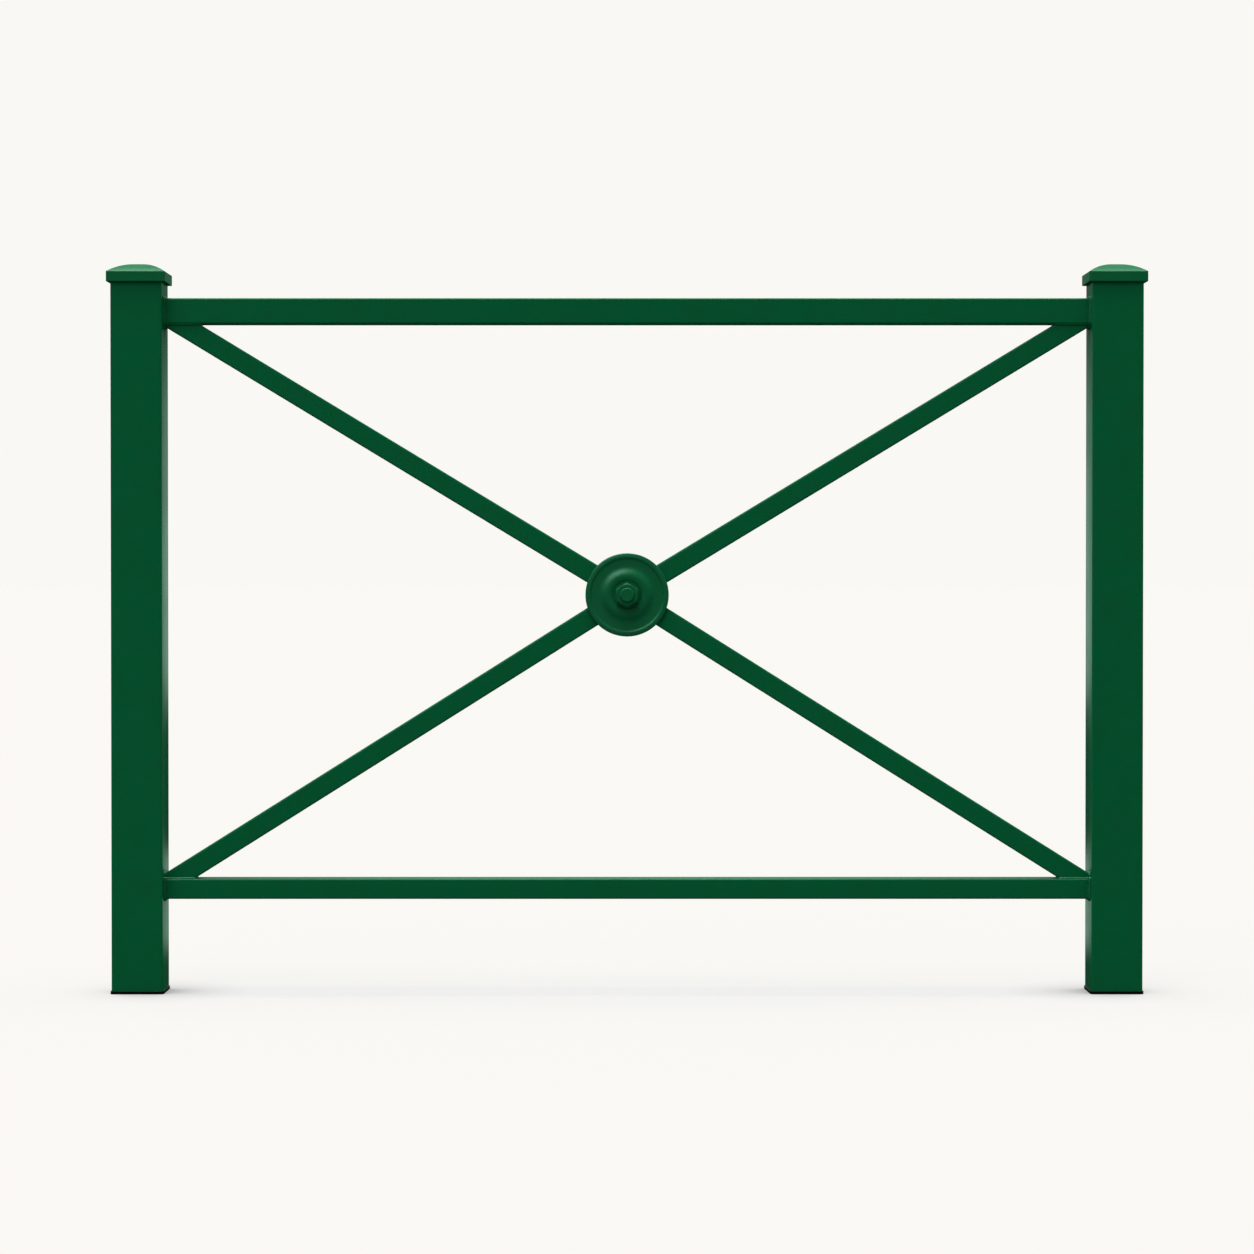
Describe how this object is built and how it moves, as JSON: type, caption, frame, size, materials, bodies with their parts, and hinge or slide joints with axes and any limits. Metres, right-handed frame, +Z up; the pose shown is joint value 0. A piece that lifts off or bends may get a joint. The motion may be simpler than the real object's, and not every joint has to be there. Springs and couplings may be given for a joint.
{
  "type": "pedestrian guard railing",
  "caption": "Free bay of steel pedestrian guard railing: square posts with domed caps, two rails and a cross of square bars bolted under a round dished rosette.",
  "frame": {"origin": "middle of the underside of the left foot", "axes": "+X along the railing to the right post, +Y away from the viewer, from the side with the nut to the side with the bolt's head, +Z up"},
  "size_m": [1.4522, 0.0822, 1.0221],
  "materials": {
    "green_paint": "satin dark green powder coat",
    "cap_paint": "satin dark green paint on a cast cap",
    "hub_paint": "satin dark green paint on castings and fasteners",
    "foot_plastic": "matt black moulded plastic"
  },
  "bodies": {
    "root": {"left_post": "green_paint", "right_post": "green_paint", "top_rail": "green_paint", "bottom_rail": "green_paint", "top_left_brace": "green_paint", "top_right_brace": "green_paint", "bottom_left_brace": "green_paint", "bottom_right_brace": "green_paint", "top_left_weld": "green_paint", "top_right_weld": "green_paint", "bottom_left_weld": "green_paint", "bottom_right_weld": "green_paint", "hub_core": "green_paint", "left_post_cap": "cap_paint", "right_post_cap": "cap_paint", "front_rosette": "hub_paint", "back_rosette": "hub_paint", "front_washer": "hub_paint", "back_washer": "hub_paint", "hub_bolt": "hub_paint", "hub_nut": "hub_paint", "left_foot_plug": "foot_plastic", "right_foot_plug": "foot_plastic"}
  },
  "joints": []
}
